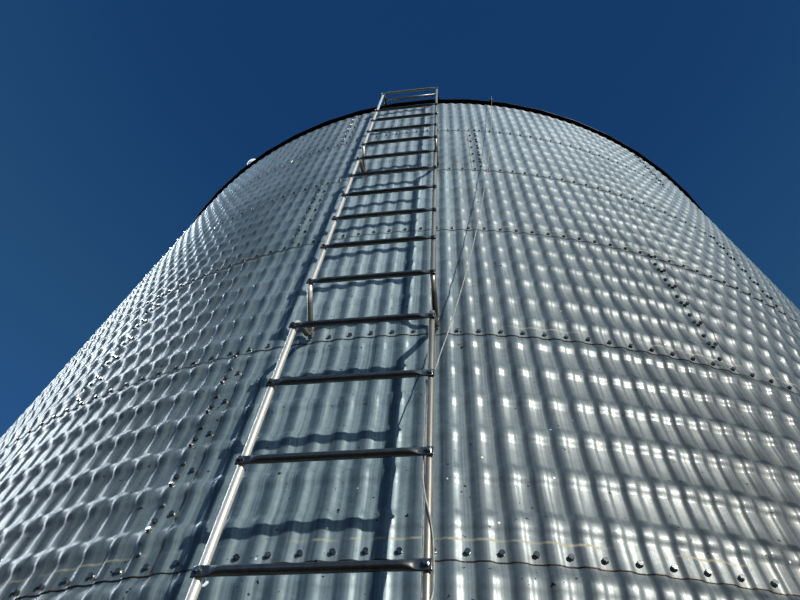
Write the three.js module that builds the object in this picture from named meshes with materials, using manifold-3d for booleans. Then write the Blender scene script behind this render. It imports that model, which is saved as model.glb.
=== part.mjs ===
// A round grain silo of galvanised waffle-pressed sheet: a base angle, eight rings of sheet, a conical roof
// with its fill collar and lid, a small roof vent, a four-section ladder with bolted rungs, and a pull cord.
// Millimetres, +Z up. The ladder stands on the -Y side, and the object rests on Z = 0.
import * as THREE from "three";
import { mergeVertices } from "three/addons/utils/BufferGeometryUtils.js";
import Module from "manifold-3d";

const wasm = await Module();
wasm.setup();

// Driving dimensions of the wall. The sheet is pressed with upright flutes, and each bolt sits in one.
const FLUTE_PITCH = 76.2;
const FLUTES = 264;
const RINGS = 8;
const RING_HEIGHT = 12 * FLUTE_PITCH;
const WALL_RADIUS = (FLUTES * FLUTE_PITCH) / (2 * Math.PI);
const WALL_DEPTH = 20; // the sheet's pressed depth, crest to valley
const WALL_HEIGHT = RINGS * RING_HEIGHT;
const FACETS = 64;
const GAP = 0.3; // left between pieces that touch

// The vertical seam of each ring, from the bottom, as a count of flutes to the right of the ladder.
const RING_SEAMS = [6, -6, 17, -6, 17, -6, 6, -6];
const FLUTE_ANGLE = 360 / FLUTES;

// Base angle, with its flat leg on the ground outside the wall.
const BASE_LEG_HEIGHT = 60;
const BASE_LEG_THICKNESS = 5;
const BASE_FLANGE_WIDTH = 65;
const BASE_FLANGE_THICKNESS = 6;

// Roof cone, its ribs, and the fill opening at its top.
const ROOF_PITCH = 28;
const ROOF_DEPTH = 12;
const EAVE_REACH = 40; // past the wall's middle line
const RIB_WIDTH = 38;
const RIB_HEIGHT = 26;
const RIBS_PER_PANEL = 6;
const ROOF_PANELS = 4;
const COLLAR_RADIUS = 300;
const COLLAR_THICKNESS = 8;
const COLLAR_HEIGHT = 130;
const LID_REACH = 22;
const LID_RISE = 70;
const LID_LIP = 45;

// Vent cap near the eave, to the left of the ladder.
const VENT_ANGLE = -29.1;
const VENT_UP_SLOPE = 95; // from the roof's edge to the vent's axis, along the sheet
const VENT_FLANGE_THICKNESS = 4;
const VENT_SKIRT = 10;
const VENT_STEM_RADIUS = 30;
const VENT_STEM_HEIGHT = 62;
const VENT_CAP_RADIUS = 66;
const VENT_CAP_HEIGHT = 54;

// Ladder of half-inch pipe: each section spans two rings and carries six rungs.
const PIPE_RADIUS = 10.65;
const RAIL_SPREAD = 452; // between the rails' axes
const RAIL_STANDOFF = 130; // rail axis from the wall's middle line
const SECTION_HEIGHT = 2 * RING_HEIGHT;
const SECTIONS = 4;
const RUNG_SPACING = RING_HEIGHT / 3;
const RUNGS_PER_SECTION = 6;
const FIRST_RUNG = RUNG_SPACING / 2; // above the seam that the section's foot is bolted at
const SET_BACK_RUNG = 4; // the rung that the top section carries on its return legs, not in the rail plane
const FLAT_HALF_THICKNESS = 2.5; // of a pipe's flattened end
const FLAT_HALF_WIDTH = 13.5;
const RUNG_OVERHANG = 12;

// Eye for the pull cord, at the roof's edge to the right of the ladder.
const EYE_ANGLE = 12.1;
const EYE_RADIUS = 13;
const EYE_WIRE = 2.5;
const EYE_REACH = 58; // from the wall's middle line to the middle of the eye
const STRAP_LENGTH = 62;
const STRAP_WIDTH = 20;
const STRAP_THICKNESS = 3;

// Pull cord: it hangs slack from the eye to the right-hand rail and winds down round it to a hitch.
const CORD_RADIUS = 2;
const CORD_WINDING_RADIUS = 13.4; // from the rail's axis to the cord's
const CORD_WINDING_STEPS = 54;
const HITCH_RADIUS = 15.4;
const HITCH_LOW = 2350;
const HITCH_HIGH = 2366;

const galvanised = new THREE.MeshStandardMaterial({ color: 0x9aa5ad, roughness: 0.35, metalness: 0.9 });
const roofSteel = new THREE.MeshStandardMaterial({ color: 0x8d979e, roughness: 0.45, metalness: 0.85 });
const pipeSteel = new THREE.MeshStandardMaterial({ color: 0xb4b9bb, roughness: 0.25, metalness: 0.95 });
const baseSteel = new THREE.MeshStandardMaterial({ color: 0x7f878c, roughness: 0.5, metalness: 0.8 });
const whitePlastic = new THREE.MeshStandardMaterial({ color: 0xe8ebe8, roughness: 0.5, metalness: 0 });
const cordFibre = new THREE.MeshStandardMaterial({ color: 0xa9a79a, roughness: 0.9, metalness: 0 });

const silo = new THREE.Group();
const radians = THREE.MathUtils.degToRad;

function add(name, geometry, material) {
  const mesh = new THREE.Mesh(geometry, material);
  mesh.name = name;
  silo.add(mesh);
  return mesh;
}

// A closed geometry as a solid that can be joined and cut.
function solid(geometry) {
  const bare = geometry.clone();
  bare.deleteAttribute("normal");
  bare.deleteAttribute("uv");
  const merged = mergeVertices(bare, 1e-3);
  return new wasm.Manifold(
    new wasm.Mesh({
      numProp: 3,
      vertProperties: new Float32Array(merged.attributes.position.array),
      triVerts: new Uint32Array(merged.index.array),
    }),
  );
}

function geometryOf(manifold) {
  const mesh = manifold.getMesh();
  const geometry = new THREE.BufferGeometry();
  geometry.setAttribute("position", new THREE.BufferAttribute(mesh.vertProperties, 3));
  geometry.setIndex(new THREE.BufferAttribute(mesh.triVerts, 1));
  geometry.computeVertexNormals();
  return geometry;
}

// Turns an outline of [radius, height] points round the silo's axis. Angle 0 points to the ladder.
function turned(outline, startAngle = 0, facets = FACETS) {
  const points = outline.map(([r, z]) => new THREE.Vector2(r, z));
  const geometry = new THREE.LatheGeometry(points, facets, radians(startAngle), 2 * Math.PI);
  return geometry.rotateX(Math.PI / 2);
}

// A closed ring whose outline is walked with the solid on its left.
function ring(outline, startAngle) {
  return solid(turned([...outline, outline[0]], startAngle));
}

// The part of space between two angles round the axis, less half a gap at each side.
function wedge(from, to) {
  const far = 2 * WALL_RADIUS;
  const inset = GAP / 2 / Math.sin(radians((to - from) / 2));
  const middle = radians((from + to) / 2);
  const shift = new THREE.Vector2(Math.sin(middle), -Math.cos(middle)).multiplyScalar(inset);
  const corners = [new THREE.Vector2(0, 0)];
  const steps = 4;
  for (let i = 0; i <= steps; i++) {
    const a = radians(from + ((to - from) * i) / steps);
    corners.push(new THREE.Vector2(far * Math.sin(a), -far * Math.cos(a)));
  }
  const shape = new THREE.Shape(corners.map((corner) => corner.add(shift)));
  const geometry = new THREE.ExtrudeGeometry(shape, { depth: 2 * WALL_HEIGHT, bevelEnabled: false });
  return solid(geometry.translate(0, 0, -WALL_HEIGHT / 2));
}

// A pipe through stations { at, wide, thick }: a cylinder bent along them, with its round squeezed where
// thick is less than wide. The direction that wide is measured in starts as given, and is carried along.
function pipe(stations, startAcross, sides = 8) {
  const last = stations.length - 1;
  const across = startAcross.clone();
  const frames = stations.map(({ at, wide, thick }, k) => {
    const before = stations[Math.max(k - 1, 0)].at;
    const after = stations[Math.min(k + 1, last)].at;
    const along = after.clone().sub(before).normalize();
    across.addScaledVector(along, -across.dot(along)).normalize();
    const out = new THREE.Vector3().crossVectors(across, along);
    return { at, u: across.clone().multiplyScalar(wide), v: out.multiplyScalar(thick) };
  });
  const geometry = new THREE.CylinderGeometry(1, 1, 1, sides, last);
  const position = geometry.attributes.position;
  for (let i = 0; i < position.count; i++) {
    const { at, u, v } = frames[Math.round((position.getY(i) + 0.5) * last)];
    const place = at.clone().addScaledVector(u, position.getX(i)).addScaledVector(v, position.getZ(i));
    position.setXYZ(i, place.x, place.y, place.z);
  }
  return geometry;
}

function baseAngle() {
  const inner = WALL_RADIUS + WALL_DEPTH / 2 + GAP;
  const legOuter = inner + BASE_LEG_THICKNESS;
  const outer = inner + BASE_FLANGE_WIDTH;
  const outline = [
    [inner, 0],
    [outer, 0],
    [outer, BASE_FLANGE_THICKNESS],
    [legOuter, BASE_FLANGE_THICKNESS],
    [legOuter, BASE_LEG_HEIGHT],
    [inner, BASE_LEG_HEIGHT],
  ];
  const seam = RING_SEAMS[0] * FLUTE_ANGLE;
  const whole = ring(outline, seam);
  add("base_angle_right", geometryOf(whole.intersect(wedge(seam, seam + 180))), baseSteel);
  add("base_angle_left", geometryOf(whole.intersect(wedge(seam + 180, seam + 360))), baseSteel);
}

function wallRings() {
  const inner = WALL_RADIUS - WALL_DEPTH / 2;
  const outer = WALL_RADIUS + WALL_DEPTH / 2;
  RING_SEAMS.forEach((flute, i) => {
    const low = i * RING_HEIGHT + (i ? GAP / 2 : 0);
    const high = (i + 1) * RING_HEIGHT - GAP / 2;
    const seam = flute * FLUTE_ANGLE;
    const whole = ring([[inner, low], [outer, low], [outer, high], [inner, high]], seam);
    const name = "wall_ring_" + (i + 1);
    add(name + "_right", geometryOf(whole.intersect(wedge(seam, seam + 180))), galvanised);
    add(name + "_left", geometryOf(whole.intersect(wedge(seam + 180, seam + 360))), galvanised);
  });
}

// The roof's underside bears on the outer top edge of the wall, and its facets lie over the top ring's.
const roofSlope = Math.tan(radians(ROOF_PITCH));
const roofRise = ROOF_DEPTH / Math.cos(radians(ROOF_PITCH));
const roofSeam = RING_SEAMS[RINGS - 1] * FLUTE_ANGLE;
const eaveRadius = WALL_RADIUS + EAVE_REACH;
const roofHole = COLLAR_RADIUS + COLLAR_THICKNESS + GAP;
const underside = (r) => WALL_HEIGHT + GAP + (WALL_RADIUS + WALL_DEPTH / 2 - r) * roofSlope;
const topside = (r) => underside(r) + roofRise;

// The roof is a cone of flat facets. This is the direction of the middle of the facet at an angle, and the
// pitch of the facets along that line.
const facetSpan = 360 / FACETS;
const facetMiddle = (angle) => roofSeam + (Math.floor((angle - roofSeam) / facetSpan) + 0.5) * facetSpan;
const facetCosine = Math.cos(radians(facetSpan / 2));
const facetPitch = Math.atan(roofSlope / facetCosine);

// The height of the roof's outer face over a point of the plan.
function roofHeight(x, y) {
  const middle = radians(facetMiddle(THREE.MathUtils.radToDeg(Math.atan2(x, -y))));
  const reach = x * Math.sin(middle) - y * Math.cos(middle);
  return topside(reach / facetCosine);
}

// Seats a geometry that is modelled on a level sheet, outwards along -Y, on the roof at an angle round the
// axis and a distance up the sheet from the eave.
function seatOnRoof(geometry, angle, upSlope) {
  const middle = facetMiddle(angle);
  const reach = eaveRadius * facetCosine - upSlope * Math.cos(facetPitch);
  const sideways = reach * Math.tan(radians(angle - middle));
  geometry.rotateX(facetPitch);
  geometry.translate(sideways, -reach, topside(eaveRadius) + upSlope * Math.sin(facetPitch));
  return geometry.rotateZ(radians(middle));
}

// A rib lies down the middle of its strip of roof, let into the sheet so that the two are one piece.
function roofRib(angle) {
  const low = eaveRadius - 14;
  const high = roofHole + 45;
  const middle = (low + high) / 2;
  const length = (low - high) / Math.cos(radians(ROOF_PITCH));
  const half = RIB_WIDTH / 2;
  const shape = new THREE.Shape([
    new THREE.Vector2(-half, -ROOF_DEPTH / 2),
    new THREE.Vector2(half, -ROOF_DEPTH / 2),
    new THREE.Vector2(half * 0.5, RIB_HEIGHT),
    new THREE.Vector2(-half * 0.5, RIB_HEIGHT),
  ]);
  const geometry = new THREE.ExtrudeGeometry(shape, { depth: length, bevelEnabled: false });
  // Extruded along Z with its height along Y: laid down so that it runs outwards and leans with the roof.
  geometry.translate(0, 0, -length / 2).rotateX(Math.PI / 2);
  geometry.rotateX(radians(ROOF_PITCH));
  geometry.translate(0, -middle, topside(middle));
  geometry.rotateZ(radians(angle));
  return solid(geometry);
}

function roof() {
  const whole = ring(
    [
      [roofHole, underside(roofHole)],
      [eaveRadius, underside(eaveRadius)],
      [eaveRadius, topside(eaveRadius)],
      [roofHole, topside(roofHole)],
    ],
    roofSeam,
  );
  const span = 360 / ROOF_PANELS;
  for (let i = 0; i < ROOF_PANELS; i++) {
    const from = roofSeam + i * span;
    let panel = whole.intersect(wedge(from, from + span));
    for (let k = 0; k < RIBS_PER_PANEL; k++)
      panel = panel.add(roofRib(from + ((k + 0.5) * span) / RIBS_PER_PANEL));
    add("roof_panel_" + (i + 1), geometryOf(panel), roofSteel);
  }
}

function fillOpening() {
  const low = underside(roofHole) - 15;
  const high = topside(roofHole) + COLLAR_HEIGHT;
  const outer = COLLAR_RADIUS + COLLAR_THICKNESS;
  const collar = ring([[COLLAR_RADIUS, low], [outer, low], [outer, high], [COLLAR_RADIUS, high]], roofSeam);
  add("fill_collar", geometryOf(collar), roofSteel);
  const rim = outer + LID_REACH;
  const seat = high + GAP;
  const lidSkin = 5;
  const lid = turned(
    [
      [0, seat],
      [rim - lidSkin, seat],
      [rim - lidSkin, seat - LID_LIP],
      [rim, seat - LID_LIP],
      [rim, seat + lidSkin],
      [COLLAR_RADIUS / 3, seat + LID_RISE],
      [0, seat + LID_RISE],
    ],
    roofSeam,
  );
  add("fill_lid", geometryOf(solid(lid)), roofSteel);
}

// The vent stands square to the sheet: a foot flange, a stem and a domed cap.
function roofVent() {
  const dome = new THREE.EllipseCurve(0, VENT_STEM_HEIGHT, VENT_CAP_RADIUS, VENT_CAP_HEIGHT, 0, Math.PI / 2);
  const flange = VENT_STEM_RADIUS + 20;
  const outline = [
    [0, GAP],
    [flange, GAP],
    [flange, VENT_FLANGE_THICKNESS],
    [VENT_STEM_RADIUS, VENT_FLANGE_THICKNESS],
    [VENT_STEM_RADIUS, VENT_STEM_HEIGHT - VENT_SKIRT],
    [VENT_CAP_RADIUS, VENT_STEM_HEIGHT - VENT_SKIRT],
    ...dome.getPoints(6).map((p) => [p.x, p.y]),
  ];
  outline[outline.length - 1][0] = 0;
  add("roof_vent", seatOnRoof(turned(outline, 0, 20), VENT_ANGLE, VENT_UP_SLOPE), whitePlastic);
}

// A point of the ladder: sideways, out from the wall's middle line, and up.
const ladderPoint = (x, out, z) => new THREE.Vector3(x, -(WALL_RADIUS + out), z);

// Stations of a rail. Its two ends are flattened into tongues that lie on the wall, where the lower end of
// one section laps over the upper end of the section below it.
function railStations(x, section) {
  const low = section * SECTION_HEIGHT;
  const high = low + SECTION_HEIGHT;
  const onWall = WALL_DEPTH / 2 + GAP + FLAT_HALF_THICKNESS;
  const onTongue = onWall + 2 * FLAT_HALF_THICKNESS + GAP;
  const round = { wide: PIPE_RADIUS, thick: PIPE_RADIUS };
  const flat = { wide: FLAT_HALF_WIDTH, thick: FLAT_HALF_THICKNESS };
  const squeezed = { wide: 11.5, thick: 7.5 };
  const station = (out, z, form) => ({ at: ladderPoint(x, out, z), ...form });
  const atBase = section === 0;
  const atEave = section === SECTIONS - 1;
  const footLow = atBase ? low + 16 : low - 11;
  const footHigh = atBase ? low + 48 : low + 20;
  const stations = [
    station(onTongue, footLow, flat),
    station(onTongue, footHigh, flat),
    station(onTongue + 12, footHigh + 18, squeezed),
    station(RAIL_STANDOFF - 88, footHigh + 28, round),
    station(RAIL_STANDOFF - 14, low + 112, round),
    station(RAIL_STANDOFF - 4, low + 124, round),
    station(RAIL_STANDOFF, low + 142, round),
    station(RAIL_STANDOFF, high - 120, round),
    station(RAIL_STANDOFF - 3, high - 106, round),
    station(RAIL_STANDOFF - 14, high - 94, round),
  ];
  if (!atEave) {
    stations.push(
      station(onWall + 34, high - 38, round),
      station(onWall + 13, high - 24, squeezed),
      station(onWall, high - 13, flat),
      station(onWall, high + 14, flat),
    );
    return stations;
  }
  // The top section's rails come back over the eave, and their tongues lie on the roof.
  const lift = (GAP + FLAT_HALF_THICKNESS) / Math.cos(radians(ROOF_PITCH));
  const edges = [x - FLAT_HALF_WIDTH, x + FLAT_HALF_WIDTH];
  const onRoof = (out) => Math.max(...edges.map((edge) => roofHeight(edge, -(WALL_RADIUS + out)))) + lift;
  stations.push(
    station(EAVE_REACH + 26, high - 30, round),
    station(EAVE_REACH + 16, high - 6, round),
    station(EAVE_REACH + 5, high + 10, squeezed),
    station(EAVE_REACH - 8, onRoof(EAVE_REACH - 8), flat),
    station(EAVE_REACH - 40, onRoof(EAVE_REACH - 40), flat),
  );
  return stations;
}

function rung(name, z, out) {
  const end = RAIL_SPREAD / 2 + RUNG_OVERHANG;
  const flatFrom = RAIL_SPREAD / 2 - 20;
  const squeezeFrom = flatFrom - 26;
  const round = { wide: PIPE_RADIUS, thick: PIPE_RADIUS };
  const flat = { wide: FLAT_HALF_WIDTH, thick: FLAT_HALF_THICKNESS };
  const stations = [
    [-end, flat],
    [-flatFrom, flat],
    [-squeezeFrom, round],
    [squeezeFrom, round],
    [flatFrom, flat],
    [end, flat],
  ].map(([x, form]) => ({ at: ladderPoint(x, out, z), ...form }));
  add(name, pipe(stations, new THREE.Vector3(0, 0, 1)), pipeSteel);
}

function ladder() {
  const across = new THREE.Vector3(1, 0, 0);
  const rungPlane = RAIL_STANDOFF + PIPE_RADIUS + GAP + FLAT_HALF_THICKNESS;
  let count = 0;
  for (let section = 0; section < SECTIONS; section++) {
    for (const [side, x] of [["left", -RAIL_SPREAD / 2], ["right", RAIL_SPREAD / 2]]) {
      const name = "ladder_" + (section + 1) + "_rail_" + side;
      add(name, pipe(railStations(x, section), across), pipeSteel);
    }
    for (let i = 0; i < RUNGS_PER_SECTION; i++) {
      const setBack = section === SECTIONS - 1 && i === SET_BACK_RUNG;
      if (setBack) continue;
      count += 1;
      const z = section * SECTION_HEIGHT + FIRST_RUNG + i * RUNG_SPACING;
      rung("rung_" + String(count).padStart(2, "0"), z, rungPlane);
    }
  }
  // The last bar runs between the return legs, just outside the eave.
  const half = RAIL_SPREAD / 2 - PIPE_RADIUS - GAP;
  const round = { wide: PIPE_RADIUS, thick: PIPE_RADIUS };
  const out = EAVE_REACH + 26;
  const z = WALL_HEIGHT - 30;
  const ends = [-half, half].map((x) => ({ at: ladderPoint(x, out, z), ...round }));
  add("eave_bar", pipe(ends, new THREE.Vector3(0, 0, 1)), pipeSteel);
}

// The eye stands at the roof's edge, at the end of a strap that lies on the sheet.
function cordEye() {
  const wireSides = 6;
  const wire = [];
  for (let i = 0; i <= wireSides; i++) {
    const a = (2 * Math.PI * i) / wireSides;
    wire.push([EYE_RADIUS + EYE_WIRE * Math.cos(a), EYE_WIRE * Math.sin(a)]);
  }
  const beyondEave = (EYE_REACH - EAVE_REACH) / Math.cos(facetPitch);
  const strapMiddle = GAP + STRAP_THICKNESS / 2;
  const strap = new THREE.BoxGeometry(STRAP_WIDTH, STRAP_LENGTH, STRAP_THICKNESS);
  strap.translate(0, STRAP_LENGTH / 2 + EYE_RADIUS - beyondEave, strapMiddle);
  const eye = turned(wire, 0, 16).rotateY(Math.PI / 2).translate(0, -beyondEave, strapMiddle);
  const joined = geometryOf(solid(strap).add(solid(eye)));
  add("cord_eye", seatOnRoof(joined, EYE_ANGLE, 0), pipeSteel);
}

// The slack stretch of the cord, from the eye to the rail: sideways, out from the wall's middle line, up.
const CORD_SLACK = [
  [683, -14, 7289],
  [672, -11, 7132],
  [648, -4, 6806],
  [617, 5, 6398],
  [576, 17, 5910],
  [530, 31, 5421],
  [479, 46, 4933],
  [432, 60, 4527],
  [390, 72, 4203],
  [350, 84, 3920],
  [312, 95, 3678],
  [278, 105, 3477],
  [252, 113, 3336],
  [233, 119, 3236],
];

// The winding round the rail: the angle round its axis, from outwards towards the right, and the height.
const CORD_WINDING = [
  [180, 3222],
  [215, 3209],
  [245, 3192],
  [266, 3165],
  [273, 3120],
  [276, 3000],
  [277, 2930],
  [282, 2860],
  [300, 2815],
  [330, 2770],
  [360, 2733],
  [390, 2697],
  [420, 2655],
  [443, 2612],
  [450, 2570],
  [440, 2545],
  [415, 2525],
  [385, 2505],
  [355, 2484],
  [325, 2462],
  [290, 2440],
  [250, 2420],
  [210, 2402],
  [170, 2389],
  [130, 2379],
  [90, 2371],
  [50, 2362],
];

function pullCord() {
  const railX = RAIL_SPREAD / 2;
  const round = { wide: CORD_RADIUS, thick: CORD_RADIUS };
  const winding = new THREE.SplineCurve(CORD_WINDING.map((turn) => new THREE.Vector2(...turn)));
  const wound = winding.getPoints(CORD_WINDING_STEPS).map(({ x: angle, y: z }) => {
    const sideways = CORD_WINDING_RADIUS * Math.sin(radians(angle));
    const outwards = CORD_WINDING_RADIUS * Math.cos(radians(angle));
    return [railX + sideways, RAIL_STANDOFF + outwards, z];
  });
  const stations = [...CORD_SLACK, ...wound].map((place) => ({ at: ladderPoint(...place), ...round }));
  const cord = pipe(stations, new THREE.Vector3(1, 0, 0));
  const inner = PIPE_RADIUS + GAP;
  const hitchOutline = [
    [inner, HITCH_LOW],
    [HITCH_RADIUS, HITCH_LOW],
    [HITCH_RADIUS, HITCH_HIGH],
    [inner, HITCH_HIGH],
    [inner, HITCH_LOW],
  ];
  const hitchFacets = 16;
  const hitch = turned(hitchOutline, 0, hitchFacets);
  const rail = ladderPoint(railX, RAIL_STANDOFF, 0);
  hitch.translate(rail.x, rail.y, 0);
  add("pull_cord", geometryOf(solid(cord).add(solid(hitch))), cordFibre);
}

baseAngle();
wallRings();
roof();
fillOpening();
roofVent();
ladder();
cordEye();

// The frame's origin is the middle of the object's box, on the ground. The cord hangs inside that box.
const box = new THREE.Box3().setFromObject(silo);
silo.position.set(-(box.min.x + box.max.x) / 2, -(box.min.y + box.max.y) / 2, 0);
pullCord();

export default silo;
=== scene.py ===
# A galvanised grain silo, dressed for a studio picture: pressed wall sheets with their laps and bolts, a
# ribbed roof with its fill lid, a ladder of bolted pipe, a white vent cap and a thin pull cord. Metres, in
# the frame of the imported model.
import bpy
import bmesh
from math import atan, copysign, cos, floor, pi, radians, sin, sqrt, tan
from mathutils import Matrix, Vector


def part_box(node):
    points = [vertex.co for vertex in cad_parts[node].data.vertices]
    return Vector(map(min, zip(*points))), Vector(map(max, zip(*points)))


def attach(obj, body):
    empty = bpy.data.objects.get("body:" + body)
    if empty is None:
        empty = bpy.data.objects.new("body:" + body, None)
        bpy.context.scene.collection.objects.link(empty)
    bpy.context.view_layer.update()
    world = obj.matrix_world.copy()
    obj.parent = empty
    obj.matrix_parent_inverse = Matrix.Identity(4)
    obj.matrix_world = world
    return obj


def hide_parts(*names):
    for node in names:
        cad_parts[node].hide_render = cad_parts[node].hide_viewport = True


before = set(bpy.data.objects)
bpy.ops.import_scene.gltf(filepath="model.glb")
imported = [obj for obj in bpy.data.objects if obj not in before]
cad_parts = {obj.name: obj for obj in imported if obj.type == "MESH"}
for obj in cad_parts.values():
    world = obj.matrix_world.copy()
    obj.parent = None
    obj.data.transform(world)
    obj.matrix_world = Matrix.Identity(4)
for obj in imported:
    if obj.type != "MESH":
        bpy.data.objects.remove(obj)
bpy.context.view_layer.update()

# Driving sizes of the silo, as in the frame.
FLUTE_PITCH = 0.0762
FLUTES = 264
RINGS = 8
PITCHES = 6  # pressing pitches in the height of a ring
PRESS_PITCH = 2 * FLUTE_PITCH
RING_HEIGHT = PITCHES * PRESS_PITCH
WALL_RADIUS = FLUTES * FLUTE_PITCH / (2 * pi)
WALL_DEPTH = 0.020
WALL_HEIGHT = RINGS * RING_HEIGHT
RING_SEAMS = (6, -6, 17, -6, 17, -6, 6, -6)  # each ring's seam, in flutes to the right of the ladder
FLUTE_ANGLE = 2 * pi / FLUTES
SHEET_FLUTES = 33
SHEETS = FLUTES // SHEET_FLUTES
GAP = 0.0003
ROOF_PITCH = radians(28)
ROOF_SLOPE = tan(ROOF_PITCH)
ROOF_DEPTH = 0.012
EAVE_REACH = 0.040
EAVE_RADIUS = WALL_RADIUS + EAVE_REACH
FACETS = 64

lid_low, lid_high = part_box("fill_lid")
AXIS = Vector(((lid_low[0] + lid_high[0]) / 2, (lid_low[1] + lid_high[1]) / 2, 0))
TO_AXIS = Matrix.Translation(AXIS)


def round_axis(angle, radius, height):
    """A point of the frame: the angle runs from the ladder to the right, round the silo's axis."""
    return AXIS + Vector((radius * sin(angle), -radius * cos(angle), height))


def ladder_point(sideways, out, height):
    """A point of the frame: sideways from the ladder's middle, out from the wall's middle line, and up."""
    return AXIS + Vector((sideways, -(WALL_RADIUS + out), height))


def turned(angle):
    """The place of a form that is made round the origin, turned by that angle round the silo's axis."""
    return TO_AXIS @ Matrix.Rotation(angle, 4, "Z")


scene = bpy.context.scene


def new_object(name, data):
    made = bpy.data.objects.new(name, data)
    scene.collection.objects.link(made)
    return made


# Camera, at the viewer's place beside the ladder's lower half, looking up.
CAMERA_SIDEWAYS = 0.3396
CAMERA_OUT = 4.3554 - WALL_RADIUS
CAMERA_HEIGHT = 1.8222
CAMERA_HEADING = radians(12.349)
CAMERA_PITCH = radians(60.084)
CAMERA_ROLL = radians(6.402)
CAMERA_LENS = 27.784


def set_camera():
    data = bpy.data.cameras.new("viewer")
    data.sensor_fit = "HORIZONTAL"
    data.sensor_width = 36
    data.lens = CAMERA_LENS
    camera = new_object("viewer", data)
    turn = Matrix.Rotation(CAMERA_HEADING, 4, "Z")
    turn = turn @ Matrix.Rotation(CAMERA_PITCH + pi / 2, 4, "X")
    turn = turn @ Matrix.Rotation(CAMERA_ROLL, 4, "Z")
    place = ladder_point(CAMERA_SIDEWAYS, CAMERA_OUT, CAMERA_HEIGHT)
    camera.matrix_world = Matrix.Translation(place) @ turn
    scene.camera = camera


class Shading:
    """The node tree that is being built: each node goes into the tree that was begun last."""

    tree = None


def begin_tree(owner):
    owner.use_nodes = True
    Shading.tree = owner.node_tree
    Shading.tree.nodes.clear()


def as_colour(value):
    """A number stands for that grey."""
    return (*value, 1) if isinstance(value, tuple) else (value, value, value, 1)


def feed(socket, value):
    """Links the socket to another one, or sets its value."""
    if isinstance(value, bpy.types.NodeSocket):
        Shading.tree.links.new(value, socket)
    else:
        socket.default_value = as_colour(value) if socket.type == "RGBA" else value


def add_node(kind, values=None, **settings):
    """A shader node of that kind, with its settings, and its sockets fed as values says."""
    node = Shading.tree.nodes.new("ShaderNode" + kind)
    for name, value in settings.items():
        setattr(node, name, value)
    for name, value in (values or {}).items():
        feed(node.inputs[name], value)
    return node


def ramp(factor, stops):
    """A colour ramp over factor, with stops of (place, colour)."""
    node = add_node("ValToRGB", {0: factor})
    elements = node.color_ramp.elements
    while len(elements) < len(stops):
        elements.new(1)
    for element, (place, colour) in zip(elements, stops):
        element.position = place
        element.color = as_colour(colour)
    return node.outputs["Color"]


def maths(operation, *values):
    return add_node("Math", dict(enumerate(values)), operation=operation).outputs[0]


def vector_maths(operation, *values):
    return add_node("VectorMath", dict(enumerate(values)), operation=operation).outputs


def product(a, b):
    return maths("MULTIPLY", a, b)


def less(a, b):
    return maths("SUBTRACT", a, b)


def total(*parts):
    whole = parts[0]
    for part in parts[1:]:
        whole = maths("ADD", whole, part)
    return whole


def swung(value, gain):
    """How far a value of 0 to 1 lies from its middle, times gain."""
    return product(less(value, 0.5), gain)


def onto_ramp(value, scale=0.5):
    """A value about 0, scaled and moved to lie about a ramp's middle."""
    return total(product(value, scale), 0.5)


def mixed(factor, a, b, blend="MIX"):
    return add_node("Mix", {0: factor, 6: a, 7: b}, data_type="RGBA", blend_type=blend).outputs[2]


def times(a, b):
    return mixed(1.0, a, b, blend="MULTIPLY")


def noise(place, scale, detail=3.0):
    return add_node("TexNoise", {"Vector": place, "Scale": scale, "Detail": detail}).outputs["Fac"]


def stretched(place, scale):
    return add_node("Mapping", {"Vector": place, "Scale": scale}).outputs[0]


def bumped(height, strength, distance):
    values = {"Height": height, "Strength": strength, "Distance": distance}
    return add_node("Bump", values).outputs["Normal"]


def new_group(name, inputs, outputs):
    """A shader node group with sockets of those kinds, the sockets that it reads and those that it feeds."""
    Shading.tree = tree = bpy.data.node_groups.new(name, "ShaderNodeTree")
    for way, sockets in (("INPUT", inputs), ("OUTPUT", outputs)):
        for socket, kind in sockets.items():
            tree.interface.new_socket(socket, in_out=way, socket_type="NodeSocket" + kind)
    return tree, tree.nodes.new("NodeGroupInput").outputs, tree.nodes.new("NodeGroupOutput").inputs


def unrolled_group():
    """The wall laid out flat: metres round the silo from the ladder and metres up, and metres out from it."""
    tree, entry, leave = new_group("unrolled_wall", {"Place": "Vector"}, {"Flat": "Vector", "Out": "Float"})
    x, y, z = add_node("SeparateXYZ", {0: entry["Place"]}).outputs
    outwards = less(AXIS.y, y)
    around = product(maths("ARCTAN2", x, outwards), WALL_RADIUS)
    feed(leave["Flat"], add_node("CombineXYZ", {"X": around, "Y": z}).outputs[0])
    reach = maths("SQRT", total(product(x, x), product(outwards, outwards)))
    feed(leave["Out"], less(reach, WALL_RADIUS))
    return tree


# Scales of the zinc's marks, in marks per metre.
CLOUD_SCALE = 2.3
SKIN_SCALE = 190.0
SPANGLE_SCALE = 85.0
DENT_SCALE = 8.0


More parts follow.
